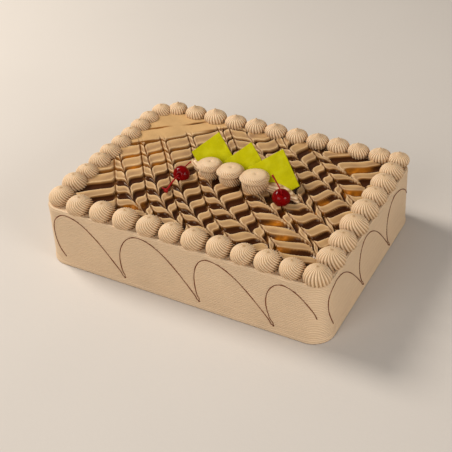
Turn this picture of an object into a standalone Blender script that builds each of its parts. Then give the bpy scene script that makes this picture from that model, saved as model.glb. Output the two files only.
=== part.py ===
"""Mocha cake: a tapered rectangular cake with a feathered mocha and chocolate top,
a border of piped shells, three rosettes, three chocolate squares and two cherries.

Metres, +Z up. Origin at the centre of the bottom. The long front side faces -Y.
"""
import math

import bmesh
import bpy
import numpy as np
from mathutils import Matrix, Vector

for old in list(bpy.data.objects):
    bpy.data.objects.remove(old, do_unlink=True)

MM = 0.001

# Body of the cake
TOP_LENGTH = 305.0
TOP_WIDTH = 225.5
BODY_HEIGHT = 65.8
CORNER_RADIUS = 19.8
FOOT_SPREAD = 1.9
EDGE_ROUNDING = 0.7
GAP = 0.3

# Border shells
SHELL_LEAST_RADIUS = 5.2
SHELL_ROOM_SHARE = 0.6
SHELL_TALLNESS = 1.1
SHELL_FLUTES = 8
SHELL_FLUTE_DEPTH = 0.9
SHELL_TWIST = 20.0
SHELL_PEAK = 3.6
PEAKED_NARROWER = 0.6
FRONT_LINE_Y = -100.6
BACK_LINE_Y = 101.2
SIDE_LINE_X = 140.6
TOP_EDGE_INSET = 5.0

# Feathered top
VALLEY_HEIGHT = 1.3
RIDGE_HEIGHT = 4.3
DRAG_ANGLE = -50.0
PUSH_REACH = 9.0
PUSH_WIDTH = 1.6
DRAG_REACH = 14.5
DRAG_WIDTH = 2.2
REACH_AT = [-95.0, -50.0, -10.0]
REACH_SHARE = [0.5, 0.62, 1.0]
GROOVE_DEPTH = 1.1
CALM_FROM = 122.0
CALM_OVER = 38.0
STRIPE_SOFTNESS = 1.6
POST_SIDES = 12
COLUMN_OFFSET = 2.3
WIDE_COLUMN = 17.0

# Rosettes: centre x, centre y, lower radius, upper radius, height, height of the fold
ROSETTES = {
    "left": (-23.4, 1.8, 10.3, 12.7, 20.0, 12.4),
    "middle": (1.2, -0.3, 11.1, 13.6, 20.8, 13.2),
    "right": (28.6, -1.2, 12.5, 14.4, 20.6, 13.8),
}
ROSETTE_FLUTES = 10

# Chocolate squares: top corner x, y, height above the cake, side, turn in its own plane
PLATE_THICKNESS = 1.9
PLATE_LEAN = 36.9
PLATES = {
    "left": (-29.3, 33.4, 34.6, 36.2, 46.9),
    "middle": (9.3, 29.9, 34.2, 34.8, 47.1),
    "right": (45.6, 27.5, 36.6, 41.0, 40.2),
}

# Cherries: centre x, y, height of the centre above the cake, radius
CHERRIES = {
    "left": (-47.7, -14.3, 6.9, 8.7),
    "right": (63.3, -13.6, 9.5, 9.1),
}


def material(name, colour, roughness=0.5, coat=0.0):
    mat = bpy.data.materials.new(name)
    mat.use_nodes = True
    shader = mat.node_tree.nodes["Principled BSDF"]
    shader.inputs["Base Color"].default_value = (*colour, 1.0)
    shader.inputs["Roughness"].default_value = roughness
    shader.inputs["Coat Weight"].default_value = coat
    mat.diffuse_color = (*colour, 1.0)
    return mat


def collection(name):
    made = bpy.data.collections.new(name)
    bpy.context.scene.collection.children.link(made)
    return made


cake = collection("mocha_cake")
cutters = collection("cutters")


def keep(name, bm, mat, group=cake, smooth=True):
    """Turn a bmesh into one named object in the group."""
    bmesh.ops.recalc_face_normals(bm, faces=bm.faces)
    mesh = bpy.data.meshes.new(name)
    bm.to_mesh(mesh)
    bm.free()
    obj = bpy.data.objects.new(name, mesh)
    if mat:
        mesh.materials.append(mat)
    for face in mesh.polygons:
        face.use_smooth = smooth
    group.objects.link(obj)
    return obj


def cutter(name, bm):
    obj = keep(name, bm, None, cutters, smooth=False)
    obj.hide_render = True
    obj.display_type = "WIRE"
    return obj


def cut(obj, tool, how="DIFFERENCE", solver="EXACT"):
    step = obj.modifiers.new(how.lower() + "_" + tool.name, "BOOLEAN")
    step.operation = how
    step.object = tool
    step.solver = solver
    return step


cream = material("border_cream", (0.78, 0.56, 0.34), 0.55)
icing = material("side_icing", (0.62, 0.44, 0.27), 0.55)
marble = material("marbled_mocha", (0.42, 0.26, 0.13), 0.3, 0.4)
green = material("green_chocolate", (0.60, 0.60, 0.02), 0.35, 0.2)
red = material("cherry_red", (0.35, 0.0, 0.01), 0.12, 0.8)
stalk = material("stem_red", (0.45, 0.02, 0.02), 0.35, 0.3)


# Body: a box with bevelled upright edges, cut into levels that carry the taper
def body():
    bm = bmesh.new()
    length = TOP_LENGTH + 2 * FOOT_SPREAD
    width = TOP_WIDTH + 2 * FOOT_SPREAD
    size = Matrix.Diagonal((length * MM, width * MM, BODY_HEIGHT * MM, 1.0))
    place = Matrix.Translation((0, 0, BODY_HEIGHT * MM / 2))
    bmesh.ops.create_cube(bm, size=1.0, matrix=place @ size)
    upright = [e for e in bm.edges if abs(e.verts[0].co.z - e.verts[1].co.z) > 0.01]
    bmesh.ops.bevel(
        bm,
        geom=upright,
        offset=(CORNER_RADIUS + FOOT_SPREAD) * MM,
        segments=6,
        affect="EDGES",
        profile=0.5,
        clamp_overlap=True,
    )
    # height above the table and how far the side stands back from the foot
    levels = [
        (0.0, 0.0),
        (2.6, 0.15),
        (5.5, 0.75),
        (BODY_HEIGHT - 7.0, FOOT_SPREAD + 0.25),
        (BODY_HEIGHT - 3.2, FOOT_SPREAD - 0.1),
        (BODY_HEIGHT - 1.0, FOOT_SPREAD),
        (BODY_HEIGHT, FOOT_SPREAD + EDGE_ROUNDING),
    ]
    for height, _ in levels[1:-1]:
        bmesh.ops.bisect_plane(
            bm,
            geom=bm.verts[:] + bm.edges[:] + bm.faces[:],
            plane_co=(0, 0, height * MM),
            plane_no=(0, 0, 1),
        )
    heights = [lv[0] for lv in levels]
    backs = [lv[1] for lv in levels]
    for v in bm.verts:
        back = float(np.interp(v.co.z / MM, heights, backs)) * MM
        v.co.x *= 1.0 - 2 * back / (length * MM)
        v.co.y *= 1.0 - 2 * back / (width * MM)
    return keep("cake_body", bm, icing)


# Border shells: a fluted dome, flattened where it meets its neighbours
def border():
    """Centres in order round the cake, with the height of the pulled peak."""
    front = [-137.3, -111.7, -85.1, -57.8, -31.9, -7.7, 17.3, 43.3, 67.9, 91.6, 115.9, 139.3]
    right = [-73.6, -46.9, -19.6, 7.2, 32.3, 56.2, 79.5]
    back = [119.8, 96.8, 74.2, 50.8, 26.7, 2.3, -21.9, -46.7, -72.0, -96.8, -120.9]
    left = [91.8, 71.9, 53.3, 34.2, 14.9, -5.2, -25.3, -47.8, -69.6]
    ring = [(x, FRONT_LINE_Y, 0.0) for x in front]
    ring[0] = (front[0], FRONT_LINE_Y + 5.4, 0.4)
    ring += [(SIDE_LINE_X, y, 0.3) for y in right]
    ring += [(139.4, 102.4, SHELL_PEAK)]
    ring += [(x, BACK_LINE_Y, SHELL_PEAK) for x in back]
    ring += [(-SIDE_LINE_X, y, 0.5) for y in left]
    ring[31] = (-136.6, left[0], 1.2)
    return ring


def held_back(x, y, centre, near):
    """Pull a plan point back to the half way line between two neighbours."""
    for other in near:
        way = Vector((other[0] - centre[0], other[1] - centre[1]))
        reach = way.length / 2 - GAP / 2 - 0.02
        way.normalize()
        along = (x - centre[0]) * way.x + (y - centre[1]) * way.y
        if along > reach:
            x -= (along - reach) * way.x
            y -= (along - reach) * way.y
    return x, y


def fluted(profile, flutes, depth, twist, apex):
    """A closed fluted dome: rings of a cylinder moved onto the profile."""
    bm = bmesh.new()
    segments = flutes * 2
    bmesh.ops.create_circle(bm, cap_ends=True, segments=segments, radius=1.0)
    bm.verts.ensure_lookup_table()
    ring = sorted(bm.verts, key=lambda v: math.atan2(v.co.y, v.co.x))
    turn = [math.atan2(v.co.y, v.co.x) for v in ring]
    rims = [ring]
    edge_loop = [e for e in bm.edges]
    for _ in profile[1:]:
        grown = bmesh.ops.extrude_edge_only(bm, edges=edge_loop)["geom"]
        fresh = [g for g in grown if isinstance(g, bmesh.types.BMVert)]
        edge_loop = [
            g
            for g in grown
            if isinstance(g, bmesh.types.BMEdge) and all(v in fresh for v in g.verts)
        ]
        rims.append(sorted(fresh, key=lambda v: math.atan2(v.co.y, v.co.x)))
    tip = bmesh.ops.extrude_edge_only(bm, edges=edge_loop)["geom"]
    tip = [g for g in tip if isinstance(g, bmesh.types.BMVert)]
    top = profile[-1][0] or 1.0
    for rim, (height, radius, flute) in zip(rims, profile):
        for k, v in enumerate(rim):
            swing = math.radians(twist) * height / top
            angle = turn[k] + swing
            wave = depth * flute * (0.5 if k % 2 else -0.5)
            r = radius + wave
            v.co.x = r * math.cos(angle) * MM
            v.co.y = r * math.sin(angle) * MM
            v.co.z = height * MM
    for v in tip:
        v.co = Vector((0.0, 0.0, apex * MM))
    bmesh.ops.remove_doubles(bm, verts=bm.verts, dist=0.00001)
    return bm


def shell_radius(ring, number):
    """Wider where the neighbours leave more room; no two are piped quite alike."""
    x, y, peak = ring[number]
    before = math.dist((x, y), ring[number - 1][:2])
    after = math.dist((x, y), ring[(number + 1) % len(ring)][:2])
    radius = SHELL_LEAST_RADIUS + SHELL_ROOM_SHARE * (before + after) / 4
    if peak > 1.0:
        radius -= PEAKED_NARROWER
    return radius * (1.0 + 0.025 * math.sin(number * 2.3))


def shell_profile(radius, peak):
    """A low dome, or one with its belly higher up under a pulled peak."""
    top = radius * SHELL_TALLNESS
    if peak > 1.0:
        return [
            (GAP, radius * 0.83, 1.0),
            (top * 0.42, radius, 1.0),
            (top * 0.75, radius * 0.80, 0.9),
            (top * 0.96, radius * 0.34, 0.6),
        ], top + peak
    return [
        (GAP, radius * 0.92, 1.0),
        (top * 0.23, radius, 1.0),
        (top * 0.62, radius * 0.87, 0.9),
        (top * 0.91, radius * 0.46, 0.6),
    ], top + peak


def shells():
    ring = border()
    for number, centre in enumerate(ring):
        near = [ring[number - 1], ring[(number + 1) % len(ring)]]
        profile, apex = shell_profile(shell_radius(ring, number), centre[2])
        twist = SHELL_TWIST + 6.0 * math.sin(number * 1.7)
        bm = fluted(profile, SHELL_FLUTES, SHELL_FLUTE_DEPTH, twist, apex)
        for v in bm.verts:
            x = v.co.x / MM + centre[0]
            y = v.co.y / MM + centre[1]
            x, y = held_back(x, y, centre, near)
            v.co.x = x * MM
            v.co.y = y * MM
            v.co.z += BODY_HEIGHT * MM
        keep("border_shell_%02d" % (number + 1), bm, cream)
    return ring


# Feathered top: stripes lie across the drag direction; every second comb line pulls
# the stripes one way and the lines between pull them back.
# Each line: place across at the middle, slope above and below the middle, bend,
# where it starts and ends, way of the pull
COMB = [
    (-114.5, -0.08, -0.08, 0.0000, -80.0, 10.0, -1.0),
    (-99.0, 0.05, 0.05, 0.0072, -65.0, 35.0, 1.0),
    (-84.3, -0.06, -0.06, 0.0041, -95.0, 50.0, -1.0),
    (-72.8, 0.02, 0.02, 0.0031, -95.0, 60.0, 1.0),
    (-58.6, -0.045, -0.045, 0.0018, -62.0, 75.0, -1.0),
    (-50.3, 0.01, 0.01, 0.0021, -95.0, 85.0, 1.0),
    (-30.4, -0.05, -0.05, 0.0017, -80.0, 100.0, -1.0),
    (-19.8, 0.02, 0.02, 0.0024, -95.0, 110.0, 1.0),
    (8.0, 0.00, -0.05, 0.0012, -95.0, 112.0, -1.0),
    (14.5, 0.06, 0.20, 0.0007, -40.0, 122.0, 1.0),
    (26.0, 0.10, 0.20, 0.0002, -60.0, 125.0, -1.0),
    (50.0, 0.17, 0.16, 0.0006, -80.0, 104.0, 1.0),
    (66.5, 0.06, 0.01, 0.00085, -60.0, 106.0, -1.0),
    (81.0, 0.23, 0.28, 0.0000, -45.0, 80.0, 1.0),
    (97.3, 0.10, 0.09, 0.0007, -35.0, 75.0, -1.0),
    (109.0, 0.42, 0.27, 0.0015, -18.0, 48.0, 1.0),
]
# Stripes: middle and half width along the drag direction
STRIPES = [
    (-124.0, 27.0),
    (-84.3, 9.2),
    (-61.8, 8.6),
    (-39.6, 8.0),
    (-13.5, 7.0),
    (10.6, 6.6),
    (31.4, 6.2),
    (52.8, 6.2),
    (73.4, 6.9),
    (96.2, 7.6),
    (117.4, 6.8),
    (137.0, 6.0),
]
DRIFT_AT = [-130.0, -40.0, -10.0, 16.0, 36.0, 52.0, 75.0, 90.0, 105.0, 135.0]
DRIFT_BY = [1.0, 0.0, -1.5, -5.0, 4.0, 10.8, 0.8, -6.0, -8.0, -1.0]


def comb_line(line, u):
    place, above, below, bend, start, end, _ = line
    held = min(max(u, start), end)
    down = max(held, 0.0)
    return place + above * min(held, 0.0) + below * down + bend * down * down


def feather_pull(v, u, start):
    """How far the comb carried the cream along the drag direction at this point."""
    share = min(max((start + CALM_FROM) / CALM_OVER, 0.0), 1.0)
    share = share * share * (3.0 - 2.0 * share) * float(np.interp(u, REACH_AT, REACH_SHARE))
    pull = 0.0
    for line in COMB:
        off = abs(v - comb_line(line, u))
        if line[6] > 0:
            pull += DRAG_REACH * math.exp(-off / DRAG_WIDTH)
        else:
            pull -= PUSH_REACH * math.exp(-off / PUSH_WIDTH)
    return pull * share


def feather_rows():
    """Rows across the drag direction: valley floor, ridge foot and ridge edge."""
    rows = [(-168.0, RIDGE_HEIGHT)]
    for middle, half in STRIPES:
        if middle - half - STRIPE_SOFTNESS > rows[0][0]:
            rows.append((middle - half - STRIPE_SOFTNESS, VALLEY_HEIGHT))
            rows.append((middle - half + STRIPE_SOFTNESS, RIDGE_HEIGHT))
        rows.append((middle + half - STRIPE_SOFTNESS, RIDGE_HEIGHT))
        rows.append((middle + half + STRIPE_SOFTNESS, VALLEY_HEIGHT))
    rows.append((168.0, VALLEY_HEIGHT))
    return rows


def feather_columns():
    """Columns along the drag direction: each comb line, its two lips and the middle."""
    columns = [(0, -34.0), (0, -13.0)]
    last = len(COMB) - 1
    for number in range(len(COMB)):
        columns += [(number, -COLUMN_OFFSET), (number, 0.0), (number, COLUMN_OFFSET)]
        if number < last and COMB[number + 1][0] - COMB[number][0] > WIDE_COLUMN:
            columns.append((number, None))
    columns += [(last, 13.0), (last, 34.0)]
    return columns


def column_place(column, u):
    number, off = column
    place = comb_line(COMB[number], u)
    if off is None:
        return (place + comb_line(COMB[number + 1], u)) / 2
    if off == 0.0 or abs(off) > COLUMN_OFFSET:
        return place + off
    other = number + (1 if off > 0 else -1)
    if 0 <= other < len(COMB):
        room = abs(comb_line(COMB[other], u) - place)
        off = math.copysign(min(COLUMN_OFFSET, 0.3 * room), off)
    return place + off


def marbled_top(ring):
    across = math.radians(DRAG_ANGLE)
    down = (math.cos(across), math.sin(across))
    side = (-down[1], down[0])
    rows = feather_rows()
    columns = feather_columns()
    bm = bmesh.new()
    bmesh.ops.create_grid(bm, x_segments=len(columns) - 1, y_segments=len(rows) - 1, size=1.0)
    edge = BODY_HEIGHT * MM
    spots = {}
    for v in bm.verts:
        column = round((v.co.x + 1.0) / 2.0 * (len(columns) - 1))
        row = round((v.co.y + 1.0) / 2.0 * (len(rows) - 1))
        spots[(row, column)] = v
    for row, (start, height) in enumerate(rows):
        last = -1000.0
        for column in range(len(columns)):
            u = start
            for _ in range(6):
                place = column_place(columns[column], u)
                drift = float(np.interp(place, DRIFT_AT, DRIFT_BY))
                u = 0.5 * u + 0.5 * (start + drift + feather_pull(place, u, start))
            place = max(column_place(columns[column], u), last + 0.3)
            last = place
            rise = height
            if columns[column][1] == 0.0:
                rise -= GROOVE_DEPTH * (0.4 if height < RIDGE_HEIGHT else 1.0)
            elif columns[column][1] is not None and height > VALLEY_HEIGHT:
                rise += 0.3
            v = spots[(row, column)]
            v.co.x = (place * side[0] + u * down[0]) * MM
            v.co.y = (place * side[1] + u * down[1]) * MM
            v.co.z = edge + rise * MM
    grown = bmesh.ops.extrude_face_region(bm, geom=bm.faces[:])["geom"]
    for g in grown:
        if isinstance(g, bmesh.types.BMVert):
            g.co.z = edge + GAP * MM
    flat = [f for f in bm.faces if all(v.co.z < edge + (GAP + 0.01) * MM for v in f.verts)]
    bmesh.ops.dissolve_faces(bm, faces=flat, use_verts=True)
    sheet = keep("marbled_top", bm, marble)
    plan = bmesh.new()
    length = 2 * (SIDE_LINE_X - TOP_EDGE_INSET) * MM
    width = (BACK_LINE_Y - FRONT_LINE_Y - 2 * TOP_EDGE_INSET) * MM
    middle = (BACK_LINE_Y + FRONT_LINE_Y) / 2 * MM
    size = Matrix.Diagonal((length, width, 0.03, 1.0))
    bmesh.ops.create_cube(plan, size=1.0, matrix=Matrix.Translation((0, middle, edge)) @ size)
    plan = cutter("plan_of_the_top", plan)
    posts = bpy.data.collections.new("shell_posts")
    cutters.children.link(posts)
    for number, centre in enumerate(ring):
        clear = shell_radius(ring, number) + SHELL_FLUTE_DEPTH / 2 + GAP + 0.1
        radius = clear / math.cos(math.pi / POST_SIDES) * MM
        bm = bmesh.new()
        bmesh.ops.create_cone(
            bm,
            cap_ends=True,
            segments=POST_SIDES,
            radius1=radius,
            radius2=radius,
            depth=0.04,
            matrix=Matrix.Translation((centre[0] * MM, centre[1] * MM, edge)),
        )
        post = keep("post_%02d" % (number + 1), bm, None, posts, smooth=False)
        post.hide_render = True
        post.display_type = "WIRE"
    step = plan.modifiers.new("scalloped_edge", "BOOLEAN")
    step.operation = "DIFFERENCE"
    step.operand_type = "COLLECTION"
    step.collection = posts
    step.solver = "EXACT"
    return sheet, plan


# Rosettes: a lower and an upper tier, ridged, pressed against their neighbours
def rosette_profile(low, high, tall, fold, grow=0.0):
    """A lower tier on a narrow foot, and a flat wide cap over it."""
    cap = tall - fold
    return [
        (GAP - grow, low * 0.78 + grow, 1.0),
        (fold * 0.30, low * 0.96 + grow, 1.0),
        (fold * 0.62, low * 1.02 + grow, 1.0),
        (fold * 0.90, low * 0.93 + grow, 0.8),
        (fold + cap * 0.08, high * 0.94 + grow, 1.0),
        (fold + cap * 0.38, high + grow, 1.0),
        (fold + cap * 0.72, high * 0.87 + grow, 0.7),
        (fold + cap * 0.94, high * 0.54 + grow, 0.3),
    ], tall + grow


def rosette(key, group=cake, grow=0.0):
    x, y, low, high, tall, fold = ROSETTES[key]
    profile, apex = rosette_profile(low, high, tall, fold, grow)
    bm = fluted(profile, ROSETTE_FLUTES, 0.9, 24.0, apex)
    spots = {k: (r[0], r[1]) for k, r in ROSETTES.items()}
    near = []
    if key == "middle":
        near = [spots["left"], spots["right"]]
    else:
        near = [spots["middle"]]
    for v in bm.verts:
        px = v.co.x / MM + x
        py = v.co.y / MM + y
        if grow == 0.0:
            px, py = held_back(px, py, (x, y), near)
        v.co.x = px * MM
        v.co.y = py * MM
        v.co.z += BODY_HEIGHT * MM
    return bm


def plate_axes(turn):
    """Right edge way, left edge way and face way of a leaning square."""
    lean = math.radians(PLATE_LEAN)
    across = Vector((1.0, 0.0, 0.0))
    upward = Vector((0.0, math.sin(lean), math.cos(lean)))
    face = Vector((0.0, -math.cos(lean), math.sin(lean)))
    t = math.radians(turn)
    to_left = -math.cos(t) * across - math.sin(t) * upward
    to_right = math.sin(t) * across - math.cos(t) * upward
    return to_left, to_right, face


def plate(key, grow=0.0, behind=0.0):
    """The square itself, or a wider cutter that may reach some way behind it."""
    x, y, height, side, turn = PLATES[key]
    to_left, to_right, face = plate_axes(turn)
    corner = Vector((x, y, height + BODY_HEIGHT))
    middle = corner + (to_left + to_right) * side / 2 - face * PLATE_THICKNESS / 2
    spin = Matrix((to_left, to_right, to_left.cross(to_right))).transposed().to_4x4()
    middle = middle - face * behind / 2
    sizes = (side + 2 * grow, side + 2 * grow, PLATE_THICKNESS + 2 * grow + behind)
    size = Matrix.Diagonal((sizes[0] * MM, sizes[1] * MM, sizes[2] * MM, 1.0))
    bm = bmesh.new()
    bmesh.ops.create_cube(bm, size=1.0, matrix=Matrix.Translation(middle * MM) @ spin @ size)
    if grow == 0.0:
        bmesh.ops.bevel(
            bm,
            geom=bm.edges[:],
            offset=0.25 * MM,
            segments=1,
            affect="EDGES",
            profile=0.5,
        )
    return bm


def cherry(key, grow=0.0):
    x, y, height, radius = CHERRIES[key]
    bm = bmesh.new()
    bmesh.ops.create_uvsphere(bm, u_segments=15, v_segments=9, radius=radius + grow)
    pole = cherry_pole(key)
    spin = Vector((0, 0, 1)).rotation_difference(pole).to_matrix()
    for v in bm.verts:
        p = v.co.copy()
        ring = math.hypot(p.x, p.y)
        if grow == 0.0 and p.z > 0:
            p.z -= 1.5 * math.exp(-((ring / 2.4) ** 2))
        p.z *= 0.95
        p = spin @ p
        rise = height + p.z
        if grow == 0.0:
            rise = max(rise, GAP)
        v.co = Vector(((x + p.x) * MM, (y + p.y) * MM, (BODY_HEIGHT + rise) * MM))
    return bm


def cherry_pole(key):
    """The way the stem end of the cherry points."""
    if key == "left":
        return Vector((0.17, -0.91, 0.37)).normalized()
    return Vector((0.24, -0.42, 0.88)).normalized()


def swept(points, radii, detail, steps):
    """A closed round body along a smooth path, as a mesh."""
    curve = bpy.data.curves.new("path", "CURVE")
    curve.dimensions = "3D"
    curve.bevel_depth = 1.0
    curve.bevel_resolution = detail
    curve.use_fill_caps = True
    curve.resolution_u = steps
    line = curve.splines.new("BEZIER")
    line.bezier_points.add(len(points) - 1)
    for spot, place, radius in zip(line.bezier_points, points, radii):
        spot.co = [c * MM for c in place]
        spot.handle_left_type = "AUTO"
        spot.handle_right_type = "AUTO"
        spot.radius = radius * MM
    path = bpy.data.objects.new("path", curve)
    bpy.context.scene.collection.objects.link(path)
    bpy.context.view_layer.update()
    mesh = bpy.data.meshes.new_from_object(path)
    bpy.data.objects.remove(path)
    bm = bmesh.new()
    bm.from_mesh(mesh)
    bmesh.ops.remove_doubles(bm, verts=bm.verts, dist=0.00001)
    return bm


def stem(name, points, radii):
    return keep(name, swept(points, radii, 1, 3), stalk)


def ridge(name, points, radii, mat):
    """A piped ridge along a path, its underside flat just over the cake."""
    obj = keep(name, swept(points, radii, 2, 3), mat)
    under = bmesh.new()
    size = Matrix.Diagonal((0.4, 0.4, 0.04, 1.0))
    place = Matrix.Translation((0, 0, (BODY_HEIGHT + GAP) * MM - 0.02))
    bmesh.ops.create_cube(under, size=1.0, matrix=place @ size)
    cut(obj, cutter(name + "_underside", under))
    return obj


def ridge_room(name, points, radii):
    """The same path a little wider, for the hollow it presses into the top."""
    wide = [r + GAP + 0.12 for r in radii]
    first = Vector(points[0]) - Vector(points[1])
    last = Vector(points[-1]) - Vector(points[-2])
    longer = list(points)
    longer[0] = tuple(Vector(points[0]) + first.normalized() * 0.6)
    longer[-1] = tuple(Vector(points[-1]) + last.normalized() * 0.6)
    return cutter(name, swept(longer, wide, 2, 3))


cake_body = body()
ring = shells()
top, plan = marbled_top(ring)

z = BODY_HEIGHT
RIGHT_BED_PATH = [
    (39.0, 3.4, z + 4.6),
    (46.0, 3.6, z + 4.6),
    (54.0, 3.2, z + 4.2),
    (62.0, 2.2, z + 3.4),
    (70.0, -0.8, z + 2.2),
    (77.5, -5.0, z + 1.0),
]
RIGHT_BED_RADII = [4.6, 6.2, 6.2, 5.4, 3.9, 1.8]
LEFT_BED_PATH = [
    (-53.0, 17.5, z + 1.6),
    (-47.5, 14.0, z + 2.4),
    (-41.5, 9.6, z + 2.6),
    (-36.5, 5.4, z + 2.4),
]
LEFT_BED_RADII = [2.6, 4.9, 4.9, 3.6]
bed_right = ridge("cream_bed_right", RIGHT_BED_PATH, RIGHT_BED_RADII, cream)
bed_left = ridge("cream_bed_left", LEFT_BED_PATH, LEFT_BED_RADII, cream)
room_right = ridge_room("room_right", RIGHT_BED_PATH, RIGHT_BED_RADII)
room_left = ridge_room("room_left", LEFT_BED_PATH, LEFT_BED_RADII)

slots = {}
backs = {}
for key in PLATES:
    keep("green_square_" + key, plate(key), green, smooth=False)
    slots[key] = cutter("slot_" + key, plate(key, GAP))
    backs[key] = cutter("back_" + key, plate(key, GAP, behind=30.0))
    cut(cake_body, slots[key])
    cut(plan, slots[key])

hollows = {}
for key in CHERRIES:
    keep("cherry_" + key, cherry(key), red)
    hollows[key] = cutter("hollow_" + key, cherry(key, GAP + 0.35))
    cut(plan, hollows[key])

seats = {}
for key in ROSETTES:
    made = keep("rosette_" + key, rosette(key), cream)
    seats[key] = cutter("seat_" + key, rosette(key, grow=GAP + 0.1))
    cut(plan, seats[key])
    for other in PLATES:
        cut(made, backs[other])

for bed, room, key in ((bed_right, room_right, "right"), (bed_left, room_left, "left")):
    cut(bed, backs[key])
    cut(bed, seats[key])
    cut(bed, hollows[key])
    behind = cutter("behind_" + key, plate(key, GAP / 2, behind=31.0))
    cut(room, behind)
    cut(plan, room)

nook = bmesh.new()
bmesh.ops.create_cone(
    nook,
    cap_ends=True,
    segments=12,
    radius1=3.6 * MM,
    radius2=3.6 * MM,
    depth=0.02,
    matrix=Matrix.Translation((19.6 * MM, 6.1 * MM, z * MM)),
)
cut(plan, cutter("nook_between_rosettes", nook))
cut(top, plan, "INTERSECT")

# Stems
def stem_start(key):
    """Just clear of the bottom of the dimple, on the pole of the cherry."""
    x, y, height, radius = CHERRIES[key]
    return Vector((x, y, z + height)) + cherry_pole(key) * (radius * 0.95 - 0.5)


def beside(key, x, y, height):
    """A place named from the centre of the cherry and the top of the cake."""
    return (CHERRIES[key][0] + x, CHERRIES[key][1] + y, z + height)


stem(
    "stem_left",
    [
        tuple(stem_start("left")),
        beside("left", 1.0, -14.2, 9.8),
        beside("left", 1.0, -22.4, 8.5),
        beside("left", 1.8, -31.0, 7.5),
        beside("left", 2.2, -34.0, 7.4),
    ],
    [1.0, 1.0, 1.05, 1.5, 2.1],
)
stem(
    "stem_left_tip",
    [
        beside("left", -1.4, 9.2, 9.6),
        beside("left", 0.2, 13.2, 11.0),
        beside("left", 1.4, 17.2, 11.8),
    ],
    [0.75, 0.7, 0.8],
)
stem(
    "stem_right",
    [
        tuple(stem_start("right")),
        beside("right", 1.3, -4.2, 20.8),
        beside("right", -4.3, -0.9, 26.2),
        beside("right", -9.9, 1.2, 32.0),
    ],
    [0.95, 0.8, 0.85, 1.15],
)
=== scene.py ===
import math

import bmesh
import bpy
import numpy as np
from mathutils import Matrix, Vector


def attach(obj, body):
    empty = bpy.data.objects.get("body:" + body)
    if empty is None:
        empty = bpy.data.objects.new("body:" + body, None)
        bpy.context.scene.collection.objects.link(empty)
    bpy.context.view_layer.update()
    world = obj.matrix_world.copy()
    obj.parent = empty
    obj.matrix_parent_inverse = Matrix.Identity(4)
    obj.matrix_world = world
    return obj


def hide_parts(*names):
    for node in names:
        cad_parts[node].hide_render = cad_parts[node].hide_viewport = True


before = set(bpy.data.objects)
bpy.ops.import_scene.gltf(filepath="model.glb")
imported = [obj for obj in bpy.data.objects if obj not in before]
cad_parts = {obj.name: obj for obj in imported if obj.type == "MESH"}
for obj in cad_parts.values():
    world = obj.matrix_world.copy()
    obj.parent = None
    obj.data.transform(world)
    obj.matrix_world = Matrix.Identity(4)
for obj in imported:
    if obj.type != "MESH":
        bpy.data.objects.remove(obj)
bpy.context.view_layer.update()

MM = 0.001

# Camera: where it looks, from where, and how it is held
LOOK_AT = (0.0059, -0.0231, 0.030)
CAMERA_AZIMUTH = 30.196
CAMERA_ELEVATION = 36.380
CAMERA_ROLL = -3.164
CAMERA_DISTANCE = 0.9196
CAMERA_LENS = 72.87
SENSOR = 36.0

# All sizes below are in millimetres
# Body
TOP_LENGTH = 305.0
TOP_WIDTH = 225.5
BODY_HEIGHT = 65.8
CORNER_RADIUS = 19.8
FOOT_SPREAD = 1.9
FOOT_LENGTH = TOP_LENGTH + 2 * FOOT_SPREAD
FOOT_WIDTH = TOP_WIDTH + 2 * FOOT_SPREAD
FOOT_RADIUS = CORNER_RADIUS + FOOT_SPREAD
CORNER_SEGMENTS = 22
LENGTH_CUTS = 110
WIDTH_CUTS = 76
SIDE_LEVELS = 72
# How far the side stands back from the foot at each height
SIDE_PROFILE = [
    (0.0, 0.35), (1.2, 0.1), (2.8, 0.2), (5.5, 0.8), (20.0, 1.25),
    (BODY_HEIGHT - 7.0, FOOT_SPREAD + 0.2), (BODY_HEIGHT - 3.0, FOOT_SPREAD + 0.05),
    (BODY_HEIGHT - 1.4, FOOT_SPREAD + 0.05), (BODY_HEIGHT - 0.5, FOOT_SPREAD + 0.35),
    (BODY_HEIGHT, FOOT_SPREAD + 1.0),
]
RIPPLE_STEP = 3.1
RIPPLE_DEPTH = 0.10
UNEVEN_DEPTH = 0.12
RIPPLE_ROOM = 0.25
# Insets of the top, from the edge inwards, and the lip of icing along the edge
RIM_INSETS = (1.1, 1.6, 2.5)
RIM_WIDTH = 9.0
RIM_BACK = FOOT_SPREAD + 0.6
LIP_WIDTH = 2.0
LIP_RISE = 0.9
LIP_WAVE = 0.6

# Border
SHELL_LEAST_RADIUS = 5.2
SHELL_ROOM_SHARE = 0.6
SHELL_TALLNESS = 1.1
SHELL_PEAK = 3.6
PEAKED_NARROWER = 0.6
FLUTE_HALF_DEPTH = 0.45
FLUTE_CLEARANCE = 0.1
SHELL_RIDGES = 22
RIDGE_DEPTH = 0.085
MODEL_RADIUS = 12.0
# Foot, height of the belly and where the dome ends, for a round and for a peaked shell
ROUND_DOME = (0.92, 0.23, 82.0)
PEAKED_DOME = (0.83, 0.42, 50.0)
UNDER_RINGS = 5
OVER_RINGS = 17
PEAK_RINGS = [
    (0.91, 0.50), (0.96, 0.385), (1.01, 0.30), (1.06, 0.225), (1.12, 0.155), (1.19, 0.09),
]
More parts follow.
